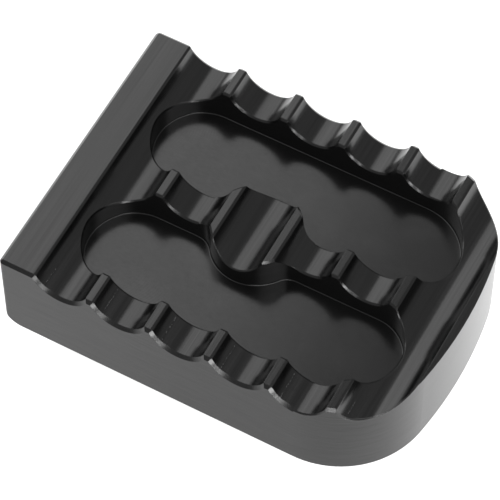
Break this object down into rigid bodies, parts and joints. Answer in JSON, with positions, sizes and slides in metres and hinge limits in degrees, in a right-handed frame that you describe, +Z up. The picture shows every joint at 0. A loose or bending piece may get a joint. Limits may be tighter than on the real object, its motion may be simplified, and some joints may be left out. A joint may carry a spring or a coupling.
{
  "type": "folding foot peg",
  "caption": "Wide folding motorcycle foot peg: grooved, pocketed tread platform on a sprung hinge arm in a clevis bracket.",
  "frame": {"origin": "centre of the bracket's tapped mounting hole, on the face that meets the motorcycle", "axes": "+X outboard along the peg, +Y across it along the hinge pin, +Z up to the tread"},
  "size_m": [0.0839, 0.0572, 0.061],
  "materials": {
    "black_anodised": "satin black anodised",
    "dark_anodised": "bead blasted, black anodised",
    "bracket_paint": "satin black powder coat on forged steel",
    "black_oxide": "black oxide",
    "zinc_steel": "bright zinc plated",
    "ground_steel": "ground and oiled",
    "bronze": "oil-filled sintered bronze",
    "spring_steel": "drawn and oiled wire"
  },
  "bodies": {
    "bracket": {"clevis_bracket": "bracket_paint", "pivot_pin": "ground_steel", "pin_washer": "zinc_steel", "split_pin": "zinc_steel", "spring_sleeve": "ground_steel"},
    "peg": {"platform": "black_anodised", "peg_arm": "dark_anodised", "centre_bolt": "black_oxide", "centre_bolt_washer": "zinc_steel", "arm_screws": "black_oxide", "arm_screw_washers": "zinc_steel", "locating_dowels": "ground_steel", "front_pivot_bush": "bronze", "rear_pivot_bush": "bronze", "return_spring": "spring_steel"}
  },
  "joints": [
    {"name": "fold", "type": "hinge", "parent": "bracket", "child": "peg", "pos_m": [0.015, 0, 0.02], "axis": [0, -1, 0], "range_deg": [0, 50], "stiffness_Nm_per_rad": 0.3, "springref_deg": -28.65}
  ]
}
